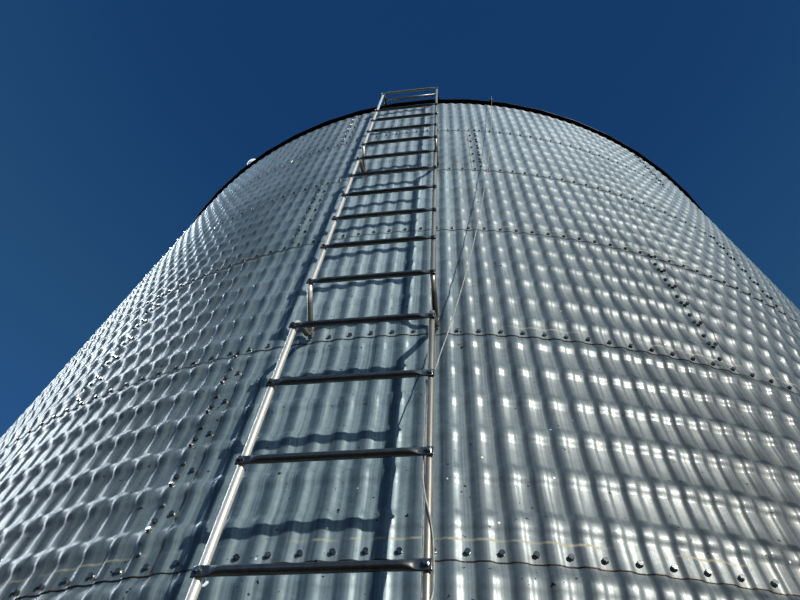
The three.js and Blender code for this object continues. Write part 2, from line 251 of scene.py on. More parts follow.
def weathering_group():
    """Zinc that has stood outside: cloudy patches, fine streaks along Runs, spangle and a grained skin."""
    inputs = {"Place": "Vector", "Runs": "Vector", "Bright": "Color", "Dull": "Color"}
    for name in ("Streaks", "Roughness", "Spread", "Relief", "Dents"):
        inputs[name] = "Float"
    outputs = {"Color": "Color", "Roughness": "Float", "Normal": "Vector"}
    tree, entry, leave = new_group("zinc_weathering", inputs, outputs)
    place = entry["Place"]
    clouds = noise(place, CLOUD_SCALE, 5.0)
    streaks = noise(entry["Runs"], 1.0, 4.0)
    skin = noise(place, SKIN_SCALE, 2.0)
    crystals = add_node("TexVoronoi", {"Vector": place, "Scale": SPANGLE_SCALE})
    crystal = add_node("SeparateColor", {0: crystals.outputs["Color"]}).outputs[0]
    streaked = swung(streaks, product(entry["Streaks"], 4.0))
    tone = total(swung(clouds, 1.3), streaked, swung(crystal, 0.2), 0.5)
    shaped = ramp(tone, ((0.0, 0), (1.0, 1)))
    feed(leave["Color"], mixed(shaped, entry["Dull"], entry["Bright"]))
    uneven = product(less(skin, shaped), entry["Spread"])
    feed(leave["Roughness"], total(entry["Roughness"], uneven))
    dents = product(noise(place, DENT_SCALE, 1.5), entry["Dents"])
    height = total(product(skin, 0.5), streaks, dents)
    feed(leave["Normal"], bumped(height, entry["Relief"], 0.001))
    return tree


STAIN_LINE = 0.034  # above a level row of bolts
STAIN_SHARPNESS = 190.0  # how fast the line fades, per metre from its middle
LADDER_STAIN = ((0.43, 0), (0.48, 1), (0.68, 1), (0.80, 0))
# Marks and painted glints: their flat places, and their half widths and half heights.
STAIN_MARKS = (
    ((0.335, 5.616), (0.023, 0.060)),
    ((0.436, 6.130), (0.014, 0.060)),
    ((-0.72, 4.560), (0.10, 0.010)),
)
# Painted highlights: glints of the sun on one flute beside the left rail's shadow, one each pressing pitch,
# painted white.
PAINTED_GLINTS = (
    ((-0.366, 3.307), (0.009, 0.011)),
    ((-0.368, 3.160), (0.011, 0.011)),
    ((-0.366, 3.011), (0.014, 0.011)),
    ((-0.367, 2.854), (0.009, 0.012)),
    ((-0.285, 2.674), (0.012, 0.009)),
)


def spotted(flat, spots):
    """A ragged patch at each of the flat places, of that half width and half height."""
    mask = 0.0
    for place, (half_width, half_height) in spots:
        from_spot = vector_maths("SUBTRACT", flat, (*place, 0))[0]
        shape = vector_maths("MULTIPLY", from_spot, (1 / half_width, 1 / half_height, 0))[0]
        within = less(1.0, vector_maths("LENGTH", shape)["Value"])
        ragged = total(within, noise(flat, 60.0, 4.0))
        mask = maths("MAXIMUM", mask, ramp(ragged, ((0.60, 0), (0.90, 1))))
    return mask


def stains_and_glints_group():
    """Brown lines above the wall's level seams, brown marks and painted glints: 1 there and 0 elsewhere."""
    outputs = {"Line": "Float", "Marks": "Float", "Glints": "Float"}
    tree, entry, leave = new_group("stains_and_glints", {"Flat": "Vector"}, outputs)
    flat = entry["Flat"]
    around, height, _ = add_node("SeparateXYZ", {0: flat}).outputs
    above = product(maths("FRACT", maths("DIVIDE", height, RING_HEIGHT)), RING_HEIGHT)
    reach = maths("ABSOLUTE", less(above, STAIN_LINE))
    line = maths("MAXIMUM", less(1.0, product(reach, STAIN_SHARPNESS)), 0.0)
    some = ramp(noise(flat, 4.0, 6.0), ((0.46, 0), (0.62, 1)))
    lowest = ramp(product(height, 0.1), ((0.285, 1), (0.30, 0)))
    broken = ramp(noise(flat, 26.0), ((0.40, 0), (0.52, 1)))
    by_ladder = product(product(ramp(onto_ramp(around), LADDER_STAIN), lowest), broken)
    feed(leave["Line"], product(line, maths("MAXIMUM", some, by_ladder)))
    feed(leave["Marks"], spotted(flat, STAIN_MARKS))
    feed(leave["Glints"], spotted(flat, PAINTED_GLINTS))
    return tree


unrolled = unrolled_group()
weathering = weathering_group()
stains_and_glints = stains_and_glints_group()


def place_group(group, values):
    return add_node("Group", values, node_tree=group).outputs


def new_material(name):
    """A material to build, and the Object place in it."""
    material = bpy.data.materials.new(name)
    begin_tree(material)
    return material, add_node("TexCoord").outputs["Object"]


def end_material(colour, metallic, roughness, normal, **coat):
    values = {"Base Color": colour, "Metallic": metallic, "Roughness": roughness, "Normal": normal}
    for name, value in coat.items():
        values["Coat " + name] = value
    shader = add_node("BsdfPrincipled", values)
    add_node("OutputMaterial", {"Surface": shader.outputs[0]})


def weathered(place, runs, bright, dull, **values):
    """Weathered zinc's colour, roughness and normal. The values are the group's other sockets."""
    return place_group(weathering, {"Place": place, "Runs": runs, "Bright": bright, "Dull": dull, **values})


def zinc(name, bright, dull, roughness, metallic=0.9):
    material, place = new_material(name)
    runs = stretched(place, (60, 60, 5))
    skin = weathered(place, runs, bright, dull, Roughness=roughness, Spread=0.12, Streaks=0.3, Relief=0.15)
    end_material(skin["Color"], metallic, skin["Roughness"], skin["Normal"])
    return material


FLUTE_START = -0.055  # of the wall's pattern, in flutes from the ladder's middle
# Painted shade: the sheet's colour darkened by bearing and by height, for how light falls on the wall.
# How the sheet's colour darkens. Places round and up are in tens of metres, and 0.5 is at the ladder.
SIDE_SHADE = (
    (0.17, 1),
    (0.25, (0.39, 0.41, 0.425)),
    (0.42, (0.44, 0.455, 0.46)),
    (0.48, (0.88, 0.93, 0.945)),
    (0.515, (0.88, 0.93, 0.945)),
    (0.535, 0.75),
    (0.75, 0.75),
    (0.85, 1),
)
SIDE_SHADE_FADE = ((0.50, 0), (0.68, 0.8))  # how the side's painted shade gives way to the high tone, going up
HIGH_TONE = (0.81, 0.82, 0.84)
# Painted shade, darker towards the foot of the wall.
FOOT_SHADE = ((0.26, 0.75), (0.52, 1))
# Painted shade on the lower wall right of the ladder, where the sun's highlights are strongest.
LOW_SHADE = ((0.30, (0.57, 0.55, 0.53)), (0.50, (0.88, 0.87, 0.86)), (0.62, 1))
RIGHT_PART = ((0.53, 0), (0.61, 1), (0.75, 1), (0.85, 0))
# Painted shade on each flute's side that faces away from the sun, between its valley and its crest.
SHADED_FLANK = 0.37  # in flutes from the valley
FLANK_SHADE = ((0.45, 1), (1.0, (0.50, 0.54, 0.58)))
FLANK_SHADE_FADE = ((0.45, 0), (0.62, 0.3))
LINE_BROWN = (0.44, 0.39, 0.28)
MARK_BROWN = (0.19, 0.125, 0.075)
LAP_RUST = ((0.40, (0.030, 0.028, 0.027)), (0.62, (0.13, 0.075, 0.04)))
SPLASH_WHITE = (0.78, 0.78, 0.75)
GLINT_WHITE = (0.95, 0.95, 0.92)
FOOT_BROWN = (0.23, 0.145, 0.085)
BEND_SHADE = ((0.100, (0.42, 0.42, 0.44)), (0.118, 1))  # by metres out from the wall's middle line


def wall_finish():
    """The pressed sheet's finish: fine upright streaks, painted shade, browned laps, specks, seam stains and
    painted glints.
    """
    material, place = new_material("wall_zinc")
    flat = place_group(unrolled, {"Place": place})["Flat"]
    runs = stretched(flat, (150, 1.6, 0))
    values = {"Roughness": 0.45, "Spread": 0.12, "Streaks": 0.42, "Relief": 0.11, "Dents": 45.0}
    skin = weathered(place, runs, (0.530, 0.573, 0.567), (0.280, 0.323, 0.339), **values)
    around, height, _ = add_node("SeparateXYZ", {0: flat}).outputs
    turns = less(maths("DIVIDE", around, FLUTE_PITCH), FLUTE_START)
    aslant = maths("COSINE", product(less(turns, SHADED_FLANK), 2 * pi))
    sideways = onto_ramp(around, 0.1)
    climb = product(height, 0.1)
    # Painted shade: on each flute's side away from the sun, by bearing, low on the right and towards the
    # foot.
    flank_shade = mixed(ramp(climb, FLANK_SHADE_FADE), ramp(onto_ramp(aslant), FLANK_SHADE), 1)
    side_shade = mixed(ramp(climb, SIDE_SHADE_FADE), ramp(sideways, SIDE_SHADE), HIGH_TONE)
    low_right_shade = mixed(ramp(sideways, RIGHT_PART), 1, ramp(climb, LOW_SHADE))
    shaded_skin = skin["Color"]
    for layer in (flank_shade, side_shade, low_right_shade, ramp(climb, FOOT_SHADE)):
        shaded_skin = times(shaded_skin, layer)
    stain_and_glint = place_group(stains_and_glints, {"Flat": flat})
    stained = mixed(product(stain_and_glint["Line"], 0.75), shaded_skin, LINE_BROWN)
    stained = mixed(product(stain_and_glint["Marks"], 0.65), stained, MARK_BROWN)
    lap = add_node("Attribute", attribute_name="lap").outputs["Fac"]
    edge = ramp(total(lap, swung(noise(place, 30.0), 0.9)), ((0.42, 0), (0.62, 1)))
    lined = mixed(product(edge, 0.9), stained, ramp(noise(place, 7.0), LAP_RUST))
    specks = ramp(noise(place, 60.0, 4.0), ((0.26, 0.12), (0.32, 1)))
    spots = add_node("TexVoronoi", {"Vector": place, "Scale": 9.0}).outputs["Distance"]
    splash = ramp(spots, ((0.022, 1), (0.036, 0)))
    colour = mixed(product(splash, 0.8), times(lined, specks), SPLASH_WHITE)
    # Painted highlights: the white glints.
    colour = mixed(stain_and_glint["Glints"], colour, GLINT_WHITE)
    mask = maths("MAXIMUM", stain_and_glint["Line"], stain_and_glint["Marks"])
    rough = total(skin["Roughness"], product(mask, 0.25))
    end_material(colour, 0.25, rough, skin["Normal"], Weight=0.14, Roughness=0.17)
    return material


def pipe_finish(name, bright, dull, roughness, metallic, relief=0.03):
    """Galvanised pipe, browned where its flattened feet lie near the wall, and darkened as painted shade
    where it bends to it.
    """
    material, place = new_material(name)
    runs = stretched(place, (90, 90, 9))
    skin = weathered(place, runs, bright, dull, Roughness=roughness, Spread=0.08, Streaks=0.3, Relief=relief)
    out = place_group(unrolled, {"Place": place})["Out"]
    near = ramp(out, ((0.020, 1), (0.062, 0)))
    patches = ramp(noise(place, 22.0, 4.0), ((0.40, 0), (0.58, 1)))
    shaded = times(skin["Color"], ramp(out, BEND_SHADE))
    colour = mixed(product(near, patches), shaded, FOOT_BROWN)
    end_material(colour, metallic, skin["Roughness"], skin["Normal"])
    return material


def mottled(name, light, dark, roughness, scale):
    """A dull finish with soft mottling and a grained skin."""
    material, place = new_material(name)
    colour = ramp(noise(place, scale, 5.0), ((0.35, dark), (0.68, light)))
    end_material(colour, 0.0, roughness, bumped(noise(place, 60 * scale, 2.0), 0.2, 0.0005))
    return material


wall_zinc = wall_finish()
roof_zinc = zinc("roof_zinc", (0.52, 0.54, 0.545), (0.38, 0.40, 0.41), roughness=0.42, metallic=0.45)
# Painted shade: near-black zinc for the roof's lip and its underside, which lie in shade under the eave.
eave_shade_dark = zinc("eave_shade_dark", (0.045, 0.045, 0.048), (0.02, 0.02, 0.022), roughness=0.5, metallic=0.3)
pipe_zinc = pipe_finish("pipe_zinc", (0.70, 0.68, 0.62), (0.50, 0.485, 0.44), 0.43, 0.48)
rail_zinc = pipe_finish("rail_zinc", (0.44, 0.42, 0.37), (0.27, 0.255, 0.22), 0.40, 0.6)
# A darker copy of the pipe's zinc for the rungs: painted shade, for the dark ground that they reflect.
rung_zinc_shaded = pipe_finish("rung_zinc_shaded", (0.31, 0.305, 0.29), (0.19, 0.185, 0.18), 0.30, 0.85, relief=0.012)
bolt_zinc = zinc("bolt_zinc", (0.55, 0.54, 0.52), (0.28, 0.28, 0.27), roughness=0.24)
wall_bolt_zinc = zinc("wall_bolt_zinc", (0.54, 0.535, 0.51), (0.22, 0.22, 0.215), roughness=0.21)
base_zinc = zinc("base_zinc", (0.40, 0.41, 0.42), (0.24, 0.25, 0.26), roughness=0.5, metallic=0.6)
cap_white = mottled("cap_white", (0.90, 0.91, 0.90), (0.80, 0.81, 0.79), roughness=0.45, scale=9.0)
cord_grey = mottled("cord_grey", (0.44, 0.44, 0.41), (0.30, 0.30, 0.28), roughness=0.85, scale=70.0)
# Black foam for the seal under the eave; its black also stands in for the eave's shade, as painted shade.
foam_black_and_shade = mottled("foam_black_and_shade", (0.028, 0.028, 0.030), (0.012, 0.012, 0.013), roughness=0.9, scale=40.0)


def riding(name, data, replaces=()):
    """The finished object of a mesh or a curve, riding on the silo."""
    piece = new_object(name, data)
    if replaces:
        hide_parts(*replaces)
    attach(piece, "root")
    return piece


def as_mesh(bm, name):
    mesh = bpy.data.meshes.new(name)
    bm.to_mesh(mesh)
    bm.free()
    return mesh


def settled(name, bm, materials, replaces=(), smooth=True):
    """Makes the finished object of a bmesh."""
    mesh = as_mesh(bm, name)
    if smooth:
        mesh.shade_smooth()
    for material in materials:
        mesh.materials.append(material)
    riding(name, mesh, replaces)


# The cord's route, as in the frame: sideways, out from the wall's middle line, and up.
CORD_RADIUS = 0.002
CORD_SLACK = (
    (0.683, -0.014, 7.289), (0.672, -0.011, 7.132), (0.648, -0.004, 6.806), (0.617, 0.005, 6.398),
    (0.576, 0.017, 5.910), (0.530, 0.031, 5.421), (0.479, 0.046, 4.933), (0.432, 0.060, 4.527),
    (0.390, 0.072, 4.203), (0.350, 0.084, 3.920), (0.312, 0.095, 3.678), (0.278, 0.105, 3.477),
    (0.252, 0.113, 3.336), (0.233, 0.119, 3.236),
)
# Its winding round the right-hand rail: the angle from outwards towards the right, and the height.
CORD_WINDING = (
    (180, 3.222), (215, 3.209), (245, 3.192), (266, 3.165), (273, 3.120), (276, 3.000), (277, 2.930),
    (282, 2.860), (300, 2.815), (330, 2.770), (360, 2.733), (390, 2.697), (420, 2.655), (443, 2.612),
    (450, 2.570), (440, 2.545), (415, 2.525), (385, 2.505), (355, 2.484), (325, 2.462), (290, 2.440),
    (250, 2.420), (210, 2.402), (170, 2.389), (130, 2.379), (90, 2.371), (50, 2.366),
)
CORD_WINDING_RADIUS = 0.0134
RAIL_SIDEWAYS = 0.226
RAIL_STANDOFF = 0.130
PIPE_RADIUS = 0.01065
HITCH_LOW = 2.350
HITCH_TURNS = 4
HITCH_STEPS = 12
HITCH_LAY = 1.5 * CORD_RADIUS  # from one turn up to the next


def beside_rail(angle, height, radius=CORD_WINDING_RADIUS):
    sideways = RAIL_SIDEWAYS + radius * sin(radians(angle))
    out = RAIL_STANDOFF + radius * cos(radians(angle))
    return ladder_point(sideways, out, height)


def cord_piece(name, points, replaces=()):
    data = bpy.data.curves.new(name, "CURVE")
    data.dimensions = "3D"
    data.bevel_depth = CORD_RADIUS
    data.bevel_resolution = 2
    data.resolution_u = 4
    data.use_fill_caps = True
    spline = data.splines.new("BEZIER")
    spline.bezier_points.add(len(points) - 1)
    for knot, point in zip(spline.bezier_points, points):
        knot.co = point
        knot.handle_left_type = "AUTO"
        knot.handle_right_type = "AUTO"
    data.materials.append(cord_grey)
    return riding(name, data, replaces)


def pull_cord():
    """The cord hangs from its eye to the rail, winds down it and ends in a hitch of four turns."""
    route = [ladder_point(*point) for point in CORD_SLACK]
    route += [beside_rail(*turn) for turn in CORD_WINDING]
    cord = cord_piece("pull_cord_line", route, ["pull_cord"])
    turns = []
    last_angle = CORD_WINDING[-1][0]
    for i in range(HITCH_TURNS * HITCH_STEPS + 1):
        angle = last_angle - 360 * i / HITCH_STEPS
        height = HITCH_LOW + CORD_RADIUS + (HITCH_TURNS - i / HITCH_STEPS) * HITCH_LAY
        turns.append(beside_rail(angle, height, PIPE_RADIUS + CORD_RADIUS))
    hitch = cord_piece("pull_cord_hitch", turns)


# Relief of the pressed sheet. Flutes run up the wall, a whole number of flutes being the middle of a
# valley, and each pressing pitch has one level ridge. Both swell out of the sheet's deepest face.
FLUTE_DEPTH = 0.0050
FLUTE_SLOPES = (0.125, 0.375)  # where a flute's side begins and ends, in flutes from the valley
RIDGE_HEIGHT = 0.0078
RIDGE_AT = 0.57  # of a pressing pitch
RIDGE_SLOPES = (0.05, 0.25)  # where a ridge's side begins and ends, in pressing pitches from its top
SHEET_FACE = WALL_RADIUS - 0.0070
LIFT_ACROSS = 0.0005  # a sheet leans, so that it lies over its neighbours at two edges
LIFT_UP = 0.0008
LAP_OVER = 0.25  # in flutes, past the last row of upright bolts
LAP_UNDER = 0.80
LAP_LEVEL = 0.024  # above and below a level row of bolts
EDGE_ACROSS = 0.0625  # the browned edge of a sheet, in flutes and in pressing pitches
EDGE_UP = 0.03
EDGE_CLEAR = 0.02  # no line of the sheet's grid comes nearer to its edge


def swell(distance, begin, end):
    """A soft side: 0 before begin, 1 past end."""
    share = min(max((distance - begin) / (end - begin), 0), 1)
    return (1 - cos(pi * share)) / 2


def sheet_radius(u, v, over_right):
    """The sheet's outer face, at u flutes from its left bolt line and v pressing pitches from its foot."""
    flute = swell(abs(u - round(u)), *FLUTE_SLOPES)
    ridge = 1 - swell(abs(v - floor(v) - RIDGE_AT), *RIDGE_SLOPES)
    across = 2 * u / SHEET_FLUTES - 1
    lean = LIFT_ACROSS * (across if over_right else -across) + LIFT_UP * (1 - 2 * v / PITCHES)
    return SHEET_FACE + FLUTE_DEPTH * flute + RIDGE_HEIGHT * ridge + lean


def stations(low, high, middle, slopes, steps):
    """Places across each side of every form from low to high, with low and high themselves."""
    begin, end = slopes
    side = [begin + (end - begin) * i / steps for i in range(steps + 1)]
    forms = [whole + middle for whole in range(floor(low) - 1, floor(high) + 2)]
    inside = [form + way * place for form in forms for way in (-1, 1) for place in side]
    return [low, *(at for at in inside if low + EDGE_CLEAR < at < high - EDGE_CLEAR), high]


# How finely a sheet's flutes and ridges are drawn: steps across a flute's side and up a ridge's side.
FAR = (1, 1)
RING_STEPS = {3: (4, 2), 4: (4, 4), 5: (4, 2), 6: (3, 2), 7: (2, 2), 8: (2, 2)}
VIEW_LEFT = radians(-40)
VIEW_RIGHT = radians(46)


def fineness(ring, start):
    """How finely the sheet that starts at that angle is drawn: finer where the photograph's view shows it."""
    half = SHEET_FLUTES * FLUTE_ANGLE / 2
    middle = (start + half + pi) % (2 * pi) - pi
    in_view = VIEW_LEFT - half < middle < VIEW_RIGHT + half
    return RING_STEPS.get(ring, FAR) if in_view else FAR


def sheet_mesh(steps, over_right):
    """One sheet, its left bolt line at the ladder's middle and its lowest row of bolts at height 0."""
    left, right = -LAP_UNDER, SHEET_FLUTES + LAP_OVER
    if not over_right:
        left, right = -LAP_OVER, SHEET_FLUTES + LAP_UNDER
    columns = stations(left, right, 0, FLUTE_SLOPES, steps[0])
    columns = sorted({round(u, 4) for u in (*columns, left + EDGE_ACROSS, right - EDGE_ACROSS)})
    level_lap = LAP_LEVEL / PRESS_PITCH
    rows = stations(-level_lap, PITCHES + level_lap, RIDGE_AT, RIDGE_SLOPES, steps[1])
    rows = sorted({round(v, 4) for v in (*rows, EDGE_UP - level_lap)})
    bm = bmesh.new()
    lap = bm.verts.layers.float.new("lap")
    outer_edge = columns[-1] if over_right else columns[0]
    bmesh.ops.create_grid(bm, x_segments=len(columns) - 1, y_segments=len(rows) - 1, size=0.5)
    for vert in bm.verts:
        u = columns[round((vert.co.x + 0.5) * (len(columns) - 1))]
        v = rows[round((vert.co.y + 0.5) * (len(rows) - 1))]
        angle = u * FLUTE_ANGLE
        radius = sheet_radius(u, v, over_right)
        vert.co = (radius * sin(angle), -radius * cos(angle), v * PRESS_PITCH)
        vert[lap] = float(u == outer_edge or v == rows[0])
    bm.normal_update()
    face = bm.faces[:][0]
    centre = face.calc_center_median()
    if face.normal.x * centre.x + face.normal.y * centre.y < 0:
        bmesh.ops.reverse_faces(bm, faces=bm.faces)
    return as_mesh(bm, "sheet")


def trim(bm, height, below):
    bmesh.ops.bisect_plane(
        bm,
        geom=bm.verts[:] + bm.edges[:] + bm.faces[:],
        plane_co=(0, 0, height),
        plane_no=(0, 0, 1),
        clear_inner=below,
        clear_outer=not below,
    )


def add_copy(bm, mesh, matrix):
    copy = mesh.copy()
    copy.transform(matrix)
    bm.from_mesh(copy)
    bpy.data.meshes.remove(copy)


def add_bolts(bm, places, **form):
    """A bolt of that form at each place."""
    bolt = bolt_mesh(**form)
    for place in places:
        add_copy(bm, bolt, place)
    bpy.data.meshes.remove(bolt)


def laid_over_right(ring):
    """Whether a ring's sheets lie over their right-hand neighbours, or over their left-hand ones."""
    return RING_SEAMS[ring - 1] != 6


def wall():
    meshes = {}
    for ring in range(1, RINGS + 1):
        foot = Matrix.Translation((0, 0, (ring - 1) * RING_HEIGHT))
        for half, side in enumerate(("right", "left")):
            bm = bmesh.new()
            for sheet in range(SHEETS // 2):
                past_seam = (half * SHEETS // 2 + sheet) * SHEET_FLUTES
                start = (FLUTE_START + RING_SEAMS[ring - 1] + past_seam) * FLUTE_ANGLE
                kind = fineness(ring, start), laid_over_right(ring)
                if kind not in meshes:
                    meshes[kind] = sheet_mesh(*kind)
                add_copy(bm, meshes[kind], foot @ turned(start))
            if ring == 1:
                trim(bm, GAP, below=True)
            if ring == RINGS:
                trim(bm, WALL_HEIGHT - GAP, below=False)
            name = f"wall_ring_{ring}_{side}"
            settled(name + "_sheets", bm, [wall_zinc], [name])
    for mesh in meshes.values():
        bpy.data.meshes.remove(mesh)


# Bolts: a hexagon head on a round washer, its foot at height 0.
HEAD_WIDTH = 0.0127
HEAD_HEIGHT = 0.0060
HEAD_TAPER = 0.97
HEAD_ROUNDING = 0.0013
WASHER_WIDTH = 0.0165
WASHER_HEIGHT = 0.0020
WASHER_TAPER = 0.9


def add_cone(bm, sides, foot_radius, top_radius, depth, matrix):
    bmesh.ops.create_cone(
        bm, cap_ends=True, segments=sides, radius1=foot_radius, radius2=top_radius, depth=depth, matrix=matrix
    )


def round_off(bm, edges, offset):
    bmesh.ops.bevel(bm, geom=edges, offset=offset, affect="EDGES", segments=2, profile=0.5, material=-1)


def bolt_mesh(facets=8, size=1.0, rounded=False):
    bm = bmesh.new()
    washer = WASHER_WIDTH / 2
    washer_middle = Matrix.Translation((0, 0, WASHER_HEIGHT / 2))
    add_cone(bm, facets, washer, washer * WASHER_TAPER, WASHER_HEIGHT, washer_middle)
    head = HEAD_WIDTH / sqrt(3)
    head_middle = Matrix.Translation((0, 0, WASHER_HEIGHT + HEAD_HEIGHT / 2))
    add_cone(bm, 6, head, head * HEAD_TAPER, HEAD_HEIGHT, head_middle)
    if rounded:
        top = WASHER_HEIGHT + HEAD_HEIGHT * 0.99
        rim = [edge for edge in bm.edges if all(vert.co.z > top for vert in edge.verts)]
        round_off(bm, rim, HEAD_ROUNDING)
    bm.normal_update()
    hidden = [face for face in bm.faces if face.normal.z < -0.5]
    bmesh.ops.delete(bm, geom=hidden, context="FACES")
    bmesh.ops.scale(bm, vec=(size, size, size), verts=bm.verts)
    return as_mesh(bm, "bolt")


def facing(place, outwards, turn=0.0):
    """The place of a piece whose foot is at place and whose top looks outwards."""
    look = outwards.to_track_quat("Z", "Y").to_matrix().to_4x4()
    return Matrix.Translation(place) @ look @ Matrix.Rotation(turn, 4, "Z")


def on_sheet(u, v, ring):
    """A point on a ring's sheets, u flutes from the ladder, and the direction that the sheet faces."""
    over_right = laid_over_right(ring)
    local = (u - RING_SEAMS[ring - 1]) % SHEET_FLUTES
    if local < 1 and over_right:
        local += SHEET_FLUTES  # the left-hand sheet is the outer one at a seam
    foot = (ring - 1) * RING_HEIGHT
    small = 0.02

    def at(du, dv):
        radius = sheet_radius(local + du, v + dv, over_right)
        return round_axis((FLUTE_START + u + du) * FLUTE_ANGLE, radius, foot + (v + dv) * PRESS_PITCH)

    across = at(small, 0) - at(-small, 0)
    up = at(0, small) - at(0, -small)
    return at(0, 0), across.cross(up).normalized()


UPRIGHT_ROW = 0.05  # height of the bolt in each pressing pitch but the first, in the valley at a seam
DENSE_ROW = (0.25, 0.69, 0.91)  # and of those on the crest beside it
FOOT_FLUTES = (-3, 3)  # where the ladder's feet are bolted through the wall


def wall_bolts():
    for ring in range(1, RINGS + 1):
        spots = []  # flutes across, pressing pitches up, and the turn of the bolt's head
        if ring > 1:
            for flute in range(FLUTES):
                at_foot = ring % 2 and (flute in FOOT_FLUTES or flute - FLUTES in FOOT_FLUTES)
                if not at_foot:
                    spots.append((flute, 0, 0.9 * flute))
        beside = -0.5 if laid_over_right(ring) else 0.5
        for sheet in range(SHEETS):
            flute = RING_SEAMS[ring - 1] + sheet * SHEET_FLUTES
            for pitch in range(PITCHES):
                if pitch:
                    spots.append((flute, pitch + UPRIGHT_ROW, sheet + pitch))
                spots += [(flute + beside, pitch + v, 4 * v) for v in DENSE_ROW]
        bm = bmesh.new()
        add_bolts(bm, [facing(*on_sheet(u, v, ring), turn) for u, v, turn in spots])
        settled(f"wall_bolts_{ring}", bm, [wall_bolt_zinc], smooth=False)


# Forms of the ladder's pipe: half its width, half its thickness, and how square its outline is.
ROUND = (PIPE_RADIUS, PIPE_RADIUS, 1.0)
SQUEEZED = (0.0115, 0.0075, 0.85)
FLAT = (0.0135, 0.0025, 0.45)
PIPE_SIDES = 16
CORNER_CUTS = 2


def softened(path):
    """The path with its corners cut, again and again."""
    for _ in range(CORNER_CUTS):
        cut = [path[0]]
        for (a, form_a), (b, form_b) in zip(path, path[1:]):
            for share in (0.25, 0.75):
                form = tuple(x + (y - x) * share for x, y in zip(form_a, form_b))
                cut.append((a.lerp(b, share), form))
        cut.append(path[-1])
        path = cut
    return path


def outline_point(angle, form):
    wide, thick, power = form
    x, y = cos(angle), sin(angle)
    return copysign(abs(x) ** power, x) * wide, copysign(abs(y) ** power, y) * thick


def faces_outward(bm):
    bmesh.ops.recalc_face_normals(bm, faces=bm.faces)


def pipe(bm, path, across):
    """A pipe along path, whose width lies along across at its start."""
    across = Vector(across)
    ring = bmesh.ops.create_circle(bm, cap_ends=True, segments=PIPE_SIDES, radius=1)["verts"]
    start_face = ring[0].link_faces[0]
    edges = list({edge for vert in ring for edge in vert.link_edges})
    angles = [2 * pi * i / PIPE_SIDES for i in range(PIPE_SIDES)]
    ordered = [loop.vert for loop in start_face.loops]
    for k, (place, form) in enumerate(path):
        before = path[max(k - 1, 0)][0]
        after = path[min(k + 1, len(path) - 1)][0]
        along = (after - before).normalized()
        across = (across - along * across.dot(along)).normalized()
        out = across.cross(along)
        if k:
            made = bmesh.ops.extrude_edge_only(bm, edges=edges)["geom"]
            fresh = {item for item in made if isinstance(item, bmesh.types.BMVert)}
            edges = [
                item
                for item in made
                if isinstance(item, bmesh.types.BMEdge) and all(vert in fresh for vert in item.verts)
            ]
            ordered = [
                next(e.other_vert(vert) for e in vert.link_edges if e.other_vert(vert) in fresh)
                for vert in ordered
            ]
        for vert, angle in zip(ordered, angles):
            x, y = outline_point(angle, form)
            vert.co = place + across * x + out * y
    bmesh.ops.holes_fill(bm, edges=edges, sides=0)


def pipe_piece(node, path, across, material):
    """The piece that takes a ladder node's place."""
    bm = bmesh.new()
    pipe(bm, path, across)
    faces_outward(bm)
    settled(node + "_pipe", bm, [material], replaces=[node])


SECTION_HEIGHT = 2 * RING_HEIGHT
SECTIONS = 4
RUNG_SPACING = RING_HEIGHT / 3
SECTION_RUNGS = 6
SET_BACK_RUNG = 22  # the bar at the eave stands in its place
ON_WALL = WALL_DEPTH / 2 + GAP + FLAT[1]
ON_TONGUE = ON_WALL + 2 * FLAT[1] + GAP
RUNG_OUT = RAIL_STANDOFF + PIPE_RADIUS + GAP + FLAT[1]
RUNG_END = 0.238
BAR_OUT = 0.066
BAR_HEIGHT = 7.2852
EAVE_TOP = WALL_HEIGHT + GAP + (WALL_DEPTH / 2 - EAVE_REACH) * ROOF_SLOPE + ROOF_DEPTH / cos(ROOF_PITCH)
LOWEST_FOOT = (0.016, 0.048)  # the ends of a foot, up from the seam that it is bolted at
FOOT = (-0.011, 0.020)
LOWEST_FOOT_BOLT = 0.032
ROOF_TONGUE = 0.032  # the run of the top section's feet on the roof
TONGUE_EDGE = 0.008  # from the eave inwards to where they begin
SLEEVE_RADIUS = 0.008


def rail_path(sideways, section):
    """A rail from its foot, up its standing length and back to the wall, or over the eave at the top."""
    low = section * SECTION_HEIGHT
    high = low + SECTION_HEIGHT
    foot_low, foot_high = (low + end for end in (FOOT if section else LOWEST_FOOT))
    points = [
        (ON_TONGUE, foot_low, FLAT), (ON_TONGUE, foot_high, FLAT),
        (ON_TONGUE + 0.012, foot_high + 0.018, SQUEEZED), (RAIL_STANDOFF - 0.088, foot_high + 0.028, ROUND),
        (RAIL_STANDOFF - 0.014, low + 0.112, ROUND), (RAIL_STANDOFF, low + 0.135, ROUND),
        (RAIL_STANDOFF, low + 0.180, ROUND), (RAIL_STANDOFF, high - 0.160, ROUND),
        (RAIL_STANDOFF, high - 0.115, ROUND), (RAIL_STANDOFF - 0.014, high - 0.094, ROUND),
    ]
    if section < SECTIONS - 1:
        points += [
            (ON_WALL + 0.034, high - 0.038, ROUND), (ON_WALL + 0.013, high - 0.024, SQUEEZED),
            (ON_WALL, high - 0.013, FLAT), (ON_WALL, high + 0.014, FLAT),
        ]
    else:
        on_roof = EAVE_TOP + TONGUE_EDGE * ROOF_SLOPE + (GAP + FLAT[1] / cos(ROOF_PITCH))
        tongue = EAVE_REACH - TONGUE_EDGE
        points += [
            (EAVE_REACH + 0.026, high - 0.030, ROUND), (EAVE_REACH + 0.016, high - 0.006, ROUND),
            (EAVE_REACH + 0.005, high + 0.010, SQUEEZED), (tongue, on_roof, FLAT),
            (tongue - ROOF_TONGUE, on_roof + ROOF_TONGUE * ROOF_SLOPE, FLAT),
        ]
    return [(ladder_point(sideways, out, height), form) for out, height, form in points]


